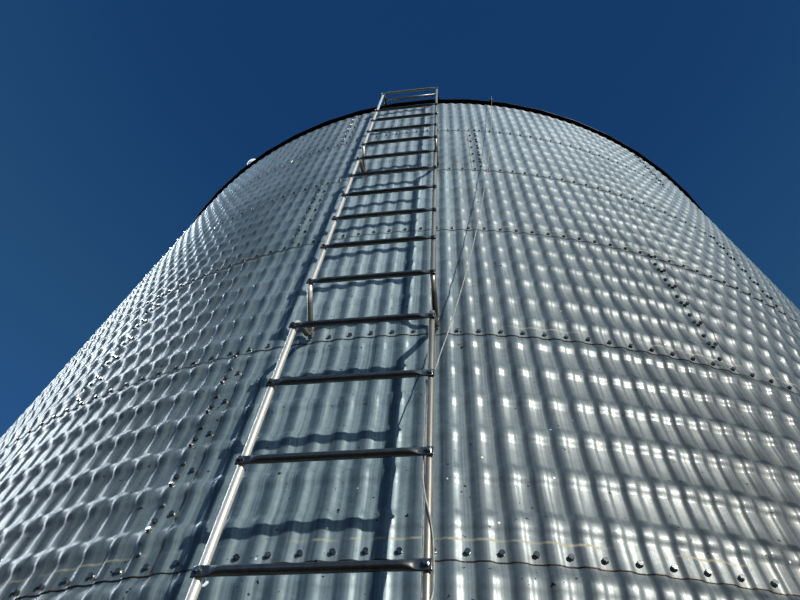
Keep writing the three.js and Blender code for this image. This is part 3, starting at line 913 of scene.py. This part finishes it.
def rung_path(height):
    """A rung, flattened where it lies on the rails."""
    half = [
        (RUNG_END, FLAT), (RUNG_END - 0.032, FLAT), (RUNG_END - 0.044, SQUEEZED),
        (RUNG_END - 0.058, ROUND), (RUNG_END - 0.075, ROUND),
    ]
    left = [(ladder_point(-x, RUNG_OUT, height), form) for x, form in half]
    right = [(ladder_point(x, RUNG_OUT, height), form) for x, form in reversed(half)]
    return left + right


def ladder():
    outward = Vector((0, -1, 0))
    sides = (-RAIL_SIDEWAYS, RAIL_SIDEWAYS)
    bolt = bolt_mesh(facets=16, rounded=True)
    nut = bolt_mesh(facets=12, size=0.92)
    for section in range(SECTIONS):
        for side, sideways, material in zip(("left", "right"), sides, (pipe_zinc, rail_zinc)):
            path = softened(rail_path(sideways, section))
            pipe_piece(f"ladder_{section + 1}_rail_{side}", path, (1, 0, 0), material)
    rungs = [n for n in range(SECTIONS * SECTION_RUNGS) if n != SET_BACK_RUNG]
    rung_heights = [RUNG_SPACING * (n + 0.5) for n in rungs]
    for n, height in enumerate(rung_heights, 1):
        # The rungs take the zinc that is darkened as painted shade.
        material = rung_zinc_shaded if n < len(rung_heights) else rail_zinc
        pipe_piece(f"rung_{n:02d}", softened(rung_path(height)), (0, 0, 1), material)
    bm = bmesh.new()
    for height in rung_heights:
        for sideways in sides:
            front = ladder_point(sideways, RUNG_OUT + FLAT[1], height)
            add_copy(bm, bolt, facing(front, outward, turn=7 * height + sideways))
            back = ladder_point(sideways, RAIL_STANDOFF - PIPE_RADIUS, height)
            add_copy(bm, nut, facing(back, -outward, turn=5 * height))
    settled("rung_bolts", bm, [bolt_zinc], smooth=False)
    bm = bmesh.new()
    sleeves = bmesh.new()
    inner, outer = SHEET_FACE - WALL_RADIUS, ON_WALL - FLAT[1]
    for section in range(SECTIONS):
        height = section * SECTION_HEIGHT if section else LOWEST_FOOT_BOLT
        for sideways in sides:
            place = ladder_point(sideways, ON_TONGUE + FLAT[1], height)
            add_copy(bm, bolt, facing(place, outward, turn=3 * sideways))
            if section:
                middle = Matrix.Translation(ladder_point(sideways, (inner + outer) / 2, height))
                lying = middle @ Matrix.Rotation(pi / 2, 4, "X")
                add_cone(sleeves, 16, SLEEVE_RADIUS, SLEEVE_RADIUS, outer - inner, lying)
    settled("foot_bolts", bm, [bolt_zinc], smooth=False)
    settled("foot_sleeves", sleeves, [bolt_zinc], smooth=False)
    ends = (-RAIL_SIDEWAYS + PIPE_RADIUS + GAP, RAIL_SIDEWAYS - PIPE_RADIUS - GAP)
    bar = [(ladder_point(x, BAR_OUT, BAR_HEIGHT), ROUND) for x in ends]
    pipe_piece("eave_bar", bar, (0, 0, 1), pipe_zinc)
    bpy.data.meshes.remove(bolt)
    bpy.data.meshes.remove(nut)


# Roof.
ROOF_PANELS = 4
RIBS_PER_PANEL = 6
ROOF_SEAM = RING_SEAMS[-1] * FLUTE_ANGLE
COLLAR_RADIUS = 0.300
COLLAR_OUTER = 0.308
COLLAR_HEIGHT = 0.130
ROOF_HOLE = COLLAR_OUTER + GAP
RIB_WIDTH = 0.038
RIB_HEIGHT = 0.026
RIB_OUTLINE = ((0.5, 0.0), (0.46, 0.05), (0.29, 0.93), (0.24, 1.0))  # its half, from foot to top
RIB_LOW = EAVE_RADIUS - 0.036
RIB_HIGH = ROOF_HOLE + 0.045
RIB_SCREWS = 9
FIRST_SCREW = 0.16  # from the roof's hole
SCREW_SPACING = 0.34
ROOF_UPRIGHT = Vector((0, -sin(ROOF_PITCH), cos(ROOF_PITCH)))
ROOF_LIP = 0.016
LIP_RADIUS = EAVE_RADIUS - 0.010  # the rolled lip stands inside the eave's box
SEAL_RADIUS = WALL_RADIUS + 0.009
FACET_SPAN = 2 * pi / FACETS
FACET_COSINE = cos(FACET_SPAN / 2)
FACET_PITCH = atan(ROOF_SLOPE / FACET_COSINE)
ROUND_STEPS = 96


def topside(radius):
    return EAVE_TOP + (EAVE_RADIUS - radius) * ROOF_SLOPE


def strung(bm, points, closed=False):
    """Verts at the points, and an edge from each to the next."""
    verts = [bm.verts.new(point) for point in points]
    pairs = list(zip(verts, verts[1:]))
    if closed:
        pairs.append((verts[-1], verts[0]))
    return verts + [bm.edges.new(pair) for pair in pairs]


def spin(bm, geom, centre, axis, steps, angle=2 * pi):
    bmesh.ops.spin(
        bm,
        geom=geom,
        cent=centre,
        axis=axis,
        angle=angle,
        steps=steps,
        use_merge=angle == 2 * pi,
        use_duplicate=False,
    )


def turned_profile(bm, outline, span, steps, from_angle=ROOF_SEAM):
    """A profile of (radius, height) points turned about the silo's axis."""
    points = [round_axis(from_angle, radius, height) for radius, height in outline]
    spin(bm, strung(bm, points), AXIS, (0, 0, 1), steps, span)


def roof_rib(bm, angle):
    """A rib down the slope, with its two ends closed."""
    half = [(x * RIB_WIDTH, z * RIB_HEIGHT) for x, z in RIB_OUTLINE]
    section = half + [(-x, z) for x, z in reversed(half)]
    slope_up = Vector((0, -cos(ROOF_PITCH), -sin(ROOF_PITCH)))
    foot = Vector((0, -RIB_HIGH, topside(RIB_HIGH)))
    verts = [bm.verts.new(foot + Vector((x, 0, 0)) + ROOF_UPRIGHT * z) for x, z in section]
    face = bm.faces.new(verts)
    made = bmesh.ops.extrude_face_region(bm, geom=[face])["geom"]
    moved = [item for item in made if isinstance(item, bmesh.types.BMVert)]
    length = (RIB_LOW - RIB_HIGH) / cos(ROOF_PITCH)
    bmesh.ops.translate(bm, vec=slope_up * length, verts=moved)
    bmesh.ops.transform(bm, matrix=turned(angle), verts=verts + moved)


def roof():
    edge = LIP_RADIUS
    rim = topside(edge)
    outline = [
        (ROOF_HOLE, topside(ROOF_HOLE)), (edge - 0.004, topside(edge - 0.004)), (edge - 0.001, rim - 0.002),
        (edge, rim - 0.005), (edge, rim - ROOF_LIP + 0.003), (edge - 0.002, rim - ROOF_LIP),
        (edge - 0.004, rim - ROOF_LIP + 0.002), (WALL_RADIUS - 0.012, topside(WALL_RADIUS - 0.012) - 0.0125),
    ]
    span = 2 * pi / ROOF_PANELS
    screw_places = []
    for i in range(ROOF_PANELS):
        bm = bmesh.new()
        from_angle = ROOF_SEAM + i * span
        turned_profile(bm, outline, span, FACETS // ROOF_PANELS, from_angle)
        faces_outward(bm)
        for face in bm.faces:
            on_lip = face.calc_center_median().z < topside(edge - 0.004)
            # The lip and the faces that look down take the painted shade.
            face.material_index = int(on_lip or face.normal.z < 0)
        for k in range(RIBS_PER_PANEL):
            angle = from_angle + (k + 0.5) * span / RIBS_PER_PANEL
            roof_rib(bm, angle)
            for j in range(RIB_SCREWS):
                radius = ROOF_HOLE + FIRST_SCREW + j * SCREW_SPACING
                top = Vector((0, -radius, topside(radius) + RIB_HEIGHT / cos(ROOF_PITCH) - 0.001))
                screw_places.append(turned(angle) @ facing(top, ROOF_UPRIGHT, turn=j))
        node = f"roof_panel_{i + 1}"
        settled(node + "_sheet", bm, [roof_zinc, eave_shade_dark], [node], smooth=False)
    bm = bmesh.new()
    add_bolts(bm, screw_places, size=0.9)
    settled("roof_screws", bm, [bolt_zinc], smooth=False)
    bm = bmesh.new()
    # A black foam seal round the wall's top, partly painted shade under the eave.
    seal = [(SEAL_RADIUS, WALL_HEIGHT - 0.005), (SEAL_RADIUS, WALL_HEIGHT + 0.001)]
    turned_profile(bm, seal, 2 * pi, 2 * FACETS)
    faces_outward(bm)
    settled("eave_seal", bm, [foam_black_and_shade])


def seat_on_roof(angle, up_slope):
    """The place of a piece that is made on a level sheet, outwards along -Y, once it lies on the roof."""
    middle = ROOF_SEAM + (floor((angle - ROOF_SEAM) / FACET_SPAN) + 0.5) * FACET_SPAN
    reach = EAVE_RADIUS * FACET_COSINE - up_slope * cos(FACET_PITCH)
    sideways = reach * tan(angle - middle)
    seat = Vector((sideways, -reach, topside(EAVE_RADIUS) + up_slope * sin(FACET_PITCH)))
    return turned(middle) @ Matrix.Translation(seat) @ Matrix.Rotation(FACET_PITCH, 4, "X")


def spun(outline, steps, matrix, closed=False):
    """A round form: an outline of (radius, height), turned about its own axis and put in place."""
    bm = bmesh.new()
    points = [(radius, 0, height) for radius, height in outline]
    spin(bm, strung(bm, points, closed), (0, 0, 0), (0, 0, 1), steps)
    bmesh.ops.remove_doubles(bm, verts=bm.verts, dist=1e-6)
    faces_outward(bm)
    bmesh.ops.transform(bm, matrix=matrix, verts=bm.verts)
    return bm


VENT_ANGLE = radians(-29.1)
VENT_UP_SLOPE = 0.095
VENT_CAP_RADIUS = 0.066
VENT_CAP_LOW = 0.062
VENT_CAP_HEIGHT = 0.054
VENT_CAP_STEPS = 10
VENT_SCREW_PLACE = Matrix.Translation((0.042, 0, 0.0042))


def roof_vent():
    """A domed cap with a hollow underside, on a stem with a foot flange."""
    outline = [
        (0, GAP), (0.0496, GAP), (0.0500, 0.0010), (0.0500, 0.0034), (0.0494, 0.0040), (0.0350, 0.0043),
        (0.0310, 0.0062), (0.0300, 0.0100), (0.0300, 0.0600), (0.0306, 0.0604), (0.0600, 0.0596),
        (0.0616, 0.0580), (0.0630, 0.0524), (0.0640, 0.0520), (0.0654, 0.0524), (VENT_CAP_RADIUS, 0.0540),
        (VENT_CAP_RADIUS, VENT_CAP_LOW),
    ]
    for k in range(1, VENT_CAP_STEPS + 1):
        climb = pi / 2 * k / VENT_CAP_STEPS
        radius = VENT_CAP_RADIUS * cos(climb) if k < VENT_CAP_STEPS else 0
        outline.append((radius, VENT_CAP_LOW + VENT_CAP_HEIGHT * sin(climb)))
    place = seat_on_roof(VENT_ANGLE, VENT_UP_SLOPE)
    settled("roof_vent_cap", spun(outline, 48, place), [cap_white], ["roof_vent"])
    screws = bmesh.new()
    turns = [Matrix.Rotation(pi / 4 + k * pi / 2, 4, "Z") for k in range(4)]
    add_bolts(screws, [place @ turn @ VENT_SCREW_PLACE for turn in turns], facets=10, size=0.4)
    settled("roof_vent_screws", screws, [bolt_zinc], smooth=False)


LID_LIP = 0.045
LID_RISE = 0.070
LID_REACH = 0.022
LID_SKIN = 0.005
LID_PRESSING = ((0.10, 0), (0.14, -0.003), (0.18, 0), (0.52, 0), (0.56, -0.003), (0.60, 0))
HANDLE_RADIUS = 0.21  # from the lid's middle
HANDLE_FORM = (0.005, 0.005, 1.0)


def fill_opening():
    """The collar at the roof's middle with its flashing, and the pressed lid with its two handles."""
    low = topside(ROOF_HOLE) - ROOF_DEPTH / cos(ROOF_PITCH) - 0.015
    high = topside(ROOF_HOLE) + COLLAR_HEIGHT
    collar = [
        (COLLAR_RADIUS, low), (COLLAR_OUTER, low), (COLLAR_OUTER, high - 0.002), (COLLAR_OUTER - 0.002, high),
        (COLLAR_RADIUS + 0.002, high), (COLLAR_RADIUS, high - 0.002),
    ]
    bm = spun(collar, ROUND_STEPS, TO_AXIS, closed=True)
    settled("fill_collar_ring", bm, [roof_zinc], ["fill_collar"], smooth=False)
    inner, outer = ROOF_HOLE + 0.001, ROOF_HOLE + 0.042
    foot, edge = topside(inner), topside(outer)
    flashing = [
        (inner, foot + GAP), (outer, edge + GAP), (outer, edge + 0.003),
        (inner + 0.006, topside(inner + 0.006) + 0.004), (inner + 0.002, foot + 0.008),
        (inner + 0.002, foot + 0.034), (inner, foot + 0.034),
    ]
    bm = spun(flashing, ROUND_STEPS, TO_AXIS, closed=True)
    settled("fill_collar_flashing", bm, [base_zinc], smooth=False)
    seat = high + GAP
    rim = COLLAR_OUTER + LID_REACH
    crown = COLLAR_RADIUS / 3
    inside = rim - LID_SKIN
    hem = seat - LID_LIP
    skin = seat + LID_SKIN
    lid = [
        (0, seat), (inside, seat), (inside, hem + 0.001), (inside + 0.001, hem), (rim - 0.001, hem),
        (rim, hem + 0.001), (rim, skin - 0.004), (rim - 0.001, skin - 0.001), (rim - 0.006, skin + 0.001),
    ]
    for share, lift in LID_PRESSING:
        radius = rim + (crown - rim) * share
        lid.append((radius, skin + (LID_RISE - LID_SKIN) * share + lift))
    peak = seat + LID_RISE
    lid += [(crown + 0.004, peak - 0.002), (crown - 0.004, peak), (0, peak)]
    settled("fill_lid_cover", spun(lid, ROUND_STEPS, TO_AXIS), [roof_zinc], ["fill_lid"])
    bm = bmesh.new()
    top = skin + (LID_RISE - LID_SKIN) * (rim - HANDLE_RADIUS) / (rim - crown)
    route = [(-0.06, -0.006), (-0.06, 0.012), (-0.05, 0.020), (0.05, 0.020), (0.06, 0.012), (0.06, -0.006)]
    for way in (-1, 1):
        path = [(AXIS + Vector((x, way * HANDLE_RADIUS, top + lift)), HANDLE_FORM) for x, lift in route]
        pipe(bm, softened(path), (0, 1, 0))
    faces_outward(bm)
    settled("fill_lid_handles", bm, [pipe_zinc])


EYE_ANGLE = radians(12.1)
EYE_RADIUS = 0.013
EYE_WIRE = 0.0025
EYE_REACH = 0.058
STRAP_LENGTH = 0.062
STRAP_WIDTH = 0.020
STRAP_THICKNESS = 0.003
STRAP_ROUNDING = 0.0007
STRAP_SCREWS = (0.4, 0.75)  # along the strap, as shares of its length


def cord_eye():
    """A ring at the roof's edge, on a screwed strap."""
    beyond_eave = (EYE_REACH - EAVE_REACH) / cos(FACET_PITCH)
    start = EYE_RADIUS - beyond_eave
    level = GAP + STRAP_THICKNESS / 2
    bm = bmesh.new()
    middle = Vector((0, STRAP_LENGTH / 2 + start, level))
    size = Matrix.Diagonal((STRAP_WIDTH, STRAP_LENGTH, STRAP_THICKNESS, 1))
    made = bmesh.ops.create_cube(bm, size=1, matrix=Matrix.Translation(middle) @ size)
    edges = list({edge for vert in made["verts"] for edge in vert.link_edges})
    round_off(bm, edges, STRAP_ROUNDING)
    at_start = Matrix.Translation((0, start, level))
    wire = bmesh.ops.create_circle(bm, segments=10, radius=EYE_WIRE, matrix=at_start)["verts"]
    loop = list({edge for vert in wire for edge in vert.link_edges})
    spin(bm, wire + loop, (0, -beyond_eave, level), (1, 0, 0), 28)
    faces_outward(bm)
    places = [(0, STRAP_LENGTH * along + start, level + STRAP_THICKNESS / 2) for along in STRAP_SCREWS]
    add_bolts(bm, [Matrix.Translation(place) for place in places], facets=10, size=0.55)
    bmesh.ops.transform(bm, matrix=seat_on_roof(EYE_ANGLE, 0), verts=bm.verts)
    settled("cord_eye_ring", bm, [pipe_zinc], replaces=["cord_eye"], smooth=False)


BASE_BOLTS = 132
ANCHORS = 24
BASE_LEG_FACE = WALL_RADIUS + WALL_DEPTH / 2 + GAP + 0.005
BASE_BOLT_HEIGHT = 0.030
BASE_FLANGE_TOP = 0.006
ANCHOR_OUT = 0.030  # from the leg's face
STUD_HEIGHT = 0.020
FOOT_BOLTS = (1, BASE_BOLTS - 2)  # left out, where the ladder's lowest feet lie on the base angle


def base_bolts():
    """Bolts through the base angle into the wall, and nuts on the anchors through its flange."""
    bm = bmesh.new()
    places = []
    for k in range(BASE_BOLTS):
        if k not in FOOT_BOLTS:
            angle = (k + 0.5) * 2 * pi / BASE_BOLTS
            place = round_axis(angle, BASE_LEG_FACE, BASE_BOLT_HEIGHT)
            places.append(facing(place, Vector((sin(angle), -cos(angle), 0)), turn=k))
    add_bolts(bm, places)
    nut = bolt_mesh(facets=16, size=1.7, rounded=True)
    for k in range(ANCHORS):
        angle = (k + 0.4) * 2 * pi / ANCHORS
        place = Matrix.Translation(round_axis(angle, BASE_LEG_FACE + ANCHOR_OUT, BASE_FLANGE_TOP))
        add_copy(bm, nut, place)
        stud = place @ Matrix.Translation((0, 0, STUD_HEIGHT))
        add_cone(bm, 12, 0.006, 0.0055, STUD_HEIGHT, stud)
    bpy.data.meshes.remove(nut)
    settled("base_bolts", bm, [bolt_zinc], smooth=False)


def towards(bearing, climb):
    """The direction at that bearing from the ladder's outward one, and at that climb."""
    turn, rise = radians(bearing), radians(climb)
    return Vector((sin(turn) * cos(rise), -cos(turn) * cos(rise), sin(rise)))


def lit_panel(name, bearing_and_climb, place, size, radiance, colour):
    """A soft panel of light that looks back along its bearing and climb, and that no camera sees."""
    data = bpy.data.lights.new(name, "AREA")
    data.shape = "RECTANGLE"
    data.size, data.size_y = size
    data.energy = radiance * pi * size[0] * size[1]
    data.color = colour
    panel = new_object(name, data)
    panel.matrix_world = facing(AXIS + Vector(place), towards(*bearing_and_climb))
    panel.visible_camera = False


FLOOR_RADIUS = 400
# The dome of the world, from straight down to straight up, and the soft pool of light in front.
DOME = (
    (0.0, (0.020, 0.022, 0.024)),
    (0.47, (0.030, 0.034, 0.038)),
    (0.497, (0.17, 0.25, 0.36)),
    (0.60, (0.095, 0.175, 0.30)),
    (0.75, (0.050, 0.120, 0.235)),
    (0.88, (0.040, 0.098, 0.175)),
    (0.96, (0.026, 0.074, 0.155)),
    (1.0, (0.024, 0.070, 0.150)),
)
POOL_BEARING = 40
POOL_CLIMB = 6
POOL_POWER = 10
POOL_COLOUR = (0.30, 0.31, 0.30)
KEY_ENERGY = 2.55
KEY_ANGLE = radians(0.7)
KEY_COLOUR = (1.0, 0.95, 0.87)
KEY_FROM = Vector((0.613, -0.690, 0.385))
# Panels: name, bearing and climb, place from the axis, size, radiance and colour.
LIT_PANELS = (
    ("side_strip", (-90, 0), (-8.8, -2.6, 10.5), (1.5, 11.0), 7.3, (0.97, 0.99, 1.0)),
    ("side_fill", (-90, 50), (-10.0, -2.6, 15.0), (10, 10), 0.3, (0.60, 0.82, 1.0)),
    ("high_fill", (20, 66), (2.0, -8.5, 18.5), (9, 9), 0.3, (0.80, 0.92, 1.0)),
    ("back_key", (-160, 32), (-6.2, 17.0, 12.0), (15, 12), 2.4, (1.0, 0.98, 0.95)),
    ("back_fill", (135, 35), (13.0, 13.0, 13.5), (12, 12), 1.0, (0.88, 0.94, 1.0)),
    ("left_fill", (-105, 25), (-19.0, 5.0, 9.0), (8, 12), 1.3, (0.90, 0.95, 1.0)),
)


def stage_and_light():
    bm = bmesh.new()
    bmesh.ops.create_circle(bm, cap_ends=True, segments=96, radius=FLOOR_RADIUS)
    mesh = as_mesh(bm, "studio_floor")
    mesh.materials.append(mottled("floor_pale", (0.62, 0.62, 0.61), (0.58, 0.58, 0.57), 0.9, scale=0.2))
    floor_piece = new_object("studio_floor", mesh)
    floor_piece.visible_glossy = False

    world = bpy.data.worlds.new("studio")
    scene.world = world
    begin_tree(world)
    direction = add_node("TexCoord").outputs["Generated"]
    height = add_node("SeparateXYZ", {0: direction}).outputs["Z"]
    nearness = vector_maths("DOT_PRODUCT", direction, towards(POOL_BEARING, POOL_CLIMB))["Value"]
    pool = mixed(maths("POWER", maths("MAXIMUM", nearness, 0.0), POOL_POWER), 0, POOL_COLOUR)
    dome = mixed(1.0, ramp(onto_ramp(height), DOME), pool, blend="ADD")
    light = add_node("Background", {"Color": dome, "Strength": 1.0})
    add_node("OutputWorld", {"Surface": light.outputs[0]})

    key = bpy.data.lights.new("key", "SUN")
    key.energy = KEY_ENERGY
    key.angle = KEY_ANGLE
    key.color = KEY_COLOUR
    lamp = new_object("key", key)
    lamp.rotation_euler = KEY_FROM.to_track_quat("Z", "Y").to_euler()

    for panel in LIT_PANELS:
        lit_panel(*panel)
    scene.view_settings.view_transform = "Standard"
    scene.view_settings.look = "Very High Contrast"


set_camera()
pull_cord()
wall()
wall_bolts()
ladder()
roof()
roof_vent()
fill_opening()
cord_eye()
base_bolts()
for node_name in ("base_angle_right", "base_angle_left"):
    for material_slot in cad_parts[node_name].material_slots:
        material_slot.material = base_zinc
stage_and_light()
